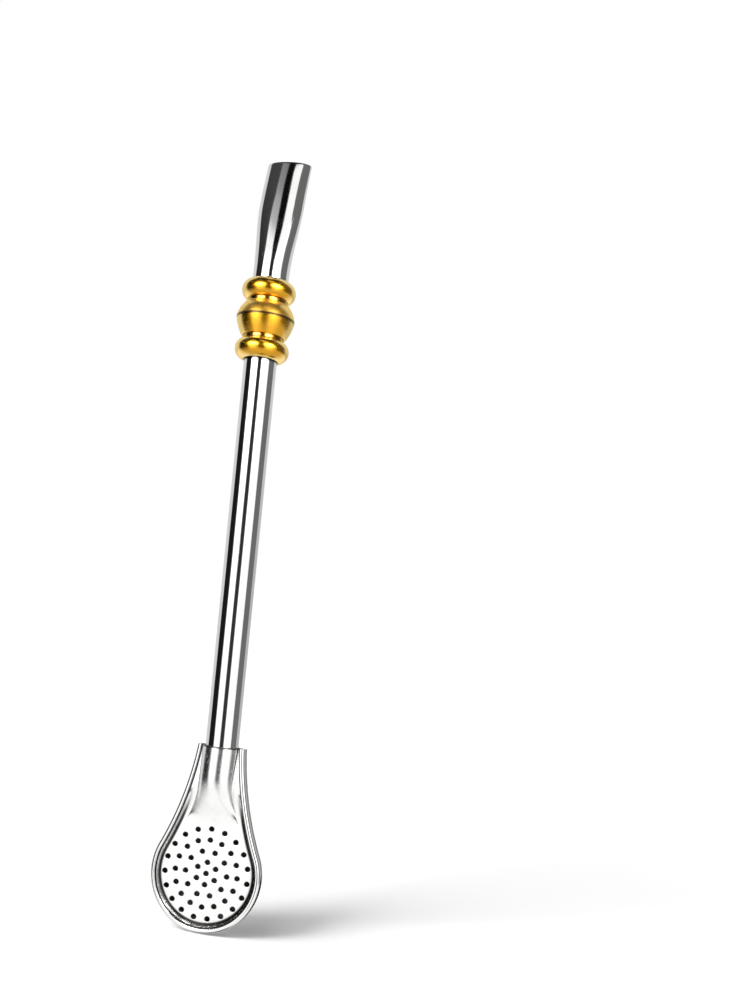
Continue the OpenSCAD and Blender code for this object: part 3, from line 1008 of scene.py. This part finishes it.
stage_panel("left_black", stage_middle, distance=3.0, soft=0.18, stops=[
    (-50, -92, -38, 0.1, 0), (-28, -92, -38, 0.06, 0.5), (-12, -92, -38, 0.012, 1),
    (12, -92, -38, 0.012, 1), (20, -97, -40, 0.02, 1), (35, -97, -41, 0.045, 1),
    (50, -97, -39, 0.06, 1), (62, -97, -50, 0.06, 1)])
stage_panel("left_box", stage_middle, distance=3.1, soft=0.1, stops=[
    (-76, -62, 14, 1.15, 0), (-70, -62, 14, 1.15, 1), (24, -62, 14, 1.18, 1), (39, -62, 6, 1.15, 1),
    (41.5, -62, 4, 0.85, 1), (44, -62, 2, 0.52, 1), (51, -62, -4, 0.4, 1), (54, -62, -8, 0.3, 1),
    (62, -62, -14, 0.23, 1)])
stage_panel("camera_gap", stage_middle, distance=3.0, soft=0.3, stops=[
    (-40, 2, 30, 0.1, 0), (-22, 1, 30, 0.06, 0.5), (-11, -0.3, 32, 0.04, 1), (12, -0.3, 32, 0.03, 1),
    (24, 2, 32, 0.02, 1), (33, 2, 32, 0.01, 1), (40, -7, 26, 0.004, 1), (46, -16, 18, 0.003, 1),
    (56, -27, 9, 0.003, 1), (61, -32, 1, 0.003, 1), (67, -32, 1, 0.003, 1)])
stage_panel("right_box", stage_middle, distance=3.1, soft=0.1, stops=[
    (-76, 20, 84, 1.15, 0), (-70, 20, 84, 1.15, 1), (10, 20, 84, 1.18, 1), (20, 20, 87, 1.18, 1),
    (30, 20, 68, 1.18, 1), (38, 14, 55, 1.18, 1), (49, 2, 48, 1.18, 1), (62, -12, 38, 1.18, 1)])
stage_panel("right_grey", stage_middle, distance=3.2, soft=0.12, stops=[
    (-17, 72, 134, 0.18, 0), (-11, 72, 134, 0.18, 1), (8, 72, 134, 0.17, 1), (18, 72, 138, 0.16, 1),
    (30, 50, 133, 0.16, 1), (49, 30, 122, 0.16, 1), (62, 20, 110, 0.19, 1)])
stage_panel("left_far", stage_middle, distance=3.3, soft=0.1, stops=[
    (-18, -185, -80, 0.75, 0), (-12, -185, -80, 0.75, 1),
    (52, -185, -80, 0.78, 1), (62, -185, -80, 0.78, 0)])
stage_panel("right_far", stage_middle, distance=3.3, soft=0.1, stops=[
    (-18, 115, 185, 0.55, 0), (-12, 115, 185, 0.55, 1), (0, 115, 185, 0.55, 1), (10, 115, 185, 0.72, 1),
    (52, 105, 185, 0.75, 1), (62, 95, 185, 0.75, 0)])
stage_panel("canopy", stage_middle, distance=3.5, soft=0.1, stops=even_stops(
    -125, 145, 0.03, [(52, 0), (58, 1), (80, 1), (85, 0)]))
lamp_level = 30
lamp_fades = [
    (-44, 0), (-19, 0.04), (-8, 0.06), (4, 0.25), (14, 0.85), (20, 1), (27, 0.4), (33, 0.1), (37, 0)]
for lamp_name, lamp_left, lamp_right in (("left_lamp", -48, 6), ("right_lamp", 23, 77)):
    stage_panel(lamp_name, ring_middle, distance=0.25, soft=1.0, stops=even_stops(
        lamp_left, lamp_right, lamp_level, lamp_fades))
stage_panel("left_skirt", filter_middle, distance=0.13, soft=0.15, stops=even_stops(
    -200, -120, 0.02, [(-48, 0), (-38, 1), (-16, 1), (-9, 0)]))
stage_panel("right_skirt", filter_middle, distance=0.125, soft=0.2, stops=even_stops(
    138, 205, 0.03, [(-48, 0), (-38, 1), (-16, 1), (-10, 0)]))
# Painted floor shadow: a dark disc under the foot, seen only in reflections, where the floor's shade
# would show.
stage_panel("below", foot_middle, distance=0.045, soft=0.01, stops=[
    (-89, -180, 180, 0.05, 1), (-66, -180, 180, 0.1, 1), (-52, -180, 180, 0.2, 0)])

floor_drop = -0.0002
floor_half = 6
floor_corners = [(x * floor_half, y * floor_half, floor_drop)
                 for x, y in ((-1, -1), (1, -1), (1, 1), (-1, 1))]
floor_mesh = bpy.data.meshes.new("floor")
floor_mesh.from_pydata(floor_corners, [], [(0, 1, 2, 3)])
floor = bpy.data.objects.new("floor", floor_mesh)
bpy.context.scene.collection.objects.link(floor)
floor_white = bpy.data.materials.new("floor_white")
floor_white.use_nodes = True
floor_paint = floor_white.node_tree.nodes["Principled BSDF"]
floor_paint.inputs["Base Color"].default_value = (0.9, 0.9, 0.9, 1)
floor_paint.inputs["Roughness"].default_value = 0.9
floor_paint.inputs["Specular IOR Level"].default_value = 0
floor_paint.inputs["Emission Color"].default_value = (1, 1, 1, 1)
floor_paint.inputs["Emission Strength"].default_value = 0.075
floor_mesh.materials.append(floor_white)
floor.visible_glossy = False

shadow_heading = Vector((0.66, 0.75, 0)).normalized()
sun_height = math.radians(40)
sun_ray = shadow_heading * math.cos(sun_height) - Vector((0, 0, 1)) * math.sin(sun_height)
for sun_name, sun_energy, sun_spread in (("clear_sun", 2.3, 24), ("hazy_sun", 1.85, 70)):
    sun_light = bpy.data.lights.new(sun_name, "SUN")
    sun_light.energy = sun_energy
    sun_light.angle = math.radians(sun_spread)
    sun = bpy.data.objects.new(sun_name, sun_light)
    sun.rotation_mode = "QUATERNION"
    sun.rotation_quaternion = sun_ray.to_track_quat("-Z", "Y")
    sun.visible_glossy = False
    bpy.context.scene.collection.objects.link(sun)

world = bpy.data.worlds.new("studio")
bpy.context.scene.world = world
world.use_nodes = True
world_nodes = world.node_tree.nodes
world_link = world.node_tree.links.new
sky = world_nodes["Background"]
sky.inputs["Color"].default_value = (1, 1, 1, 1)
ray = world_nodes.new("ShaderNodeLightPath")
seen = world_nodes.new("ShaderNodeMath")
mirrored = world_nodes.new("ShaderNodeMath")
for either in (seen, mirrored):
    either.operation = "ADD"
    either.use_clamp = True
sky_level = world_nodes.new("ShaderNodeMapRange")
sky_level.inputs["To Min"].default_value = 0.24
sky_level.inputs["To Max"].default_value = 1.0
world_link(ray.outputs["Is Glossy Ray"], mirrored.inputs[0])
world_link(ray.outputs["Is Transmission Ray"], mirrored.inputs[1])
world_link(ray.outputs["Is Camera Ray"], seen.inputs[0])
world_link(mirrored.outputs["Value"], seen.inputs[1])
world_link(seen.outputs["Value"], sky_level.inputs["Value"])
world_link(sky_level.outputs["Result"], sky.inputs["Strength"])

# Camera. It stands level with the middle of the straw and to its right, and is rolled so that the straw
# leans in the picture, which is 992 pixels high. Its lens and shift are worked out in those pixels.
picture_height = 992
focal_pixels = 1100
shift_pixels = 80
sensor_size = 36
camera_place = (0.111, -0.2946, 0.1056)
camera_turn = math.radians(13.7)
camera_roll = math.radians(5.7)
camera_data = bpy.data.cameras.new("camera")
camera_data.sensor_width = sensor_size
camera_data.lens = sensor_size * focal_pixels / picture_height
camera_data.shift_y = shift_pixels / picture_height
camera_data.clip_start = 0.01
camera = bpy.data.objects.new("camera", camera_data)
bpy.context.scene.collection.objects.link(camera)
level_right = Vector((math.cos(camera_turn), math.sin(camera_turn), 0))
look = Vector((-math.sin(camera_turn), math.cos(camera_turn), 0))
up = Vector((0, 0, 1))
image_right = level_right * math.cos(camera_roll) + up * math.sin(camera_roll)
image_up = up * math.cos(camera_roll) - level_right * math.sin(camera_roll)
camera_axes = Matrix((image_right, image_up, -look)).transposed().to_4x4()
camera_axes.translation = camera_place
camera.matrix_world = camera_axes
bpy.context.scene.camera = camera

bpy.context.scene.view_settings.view_transform = "Standard"
bpy.context.view_layer.update()
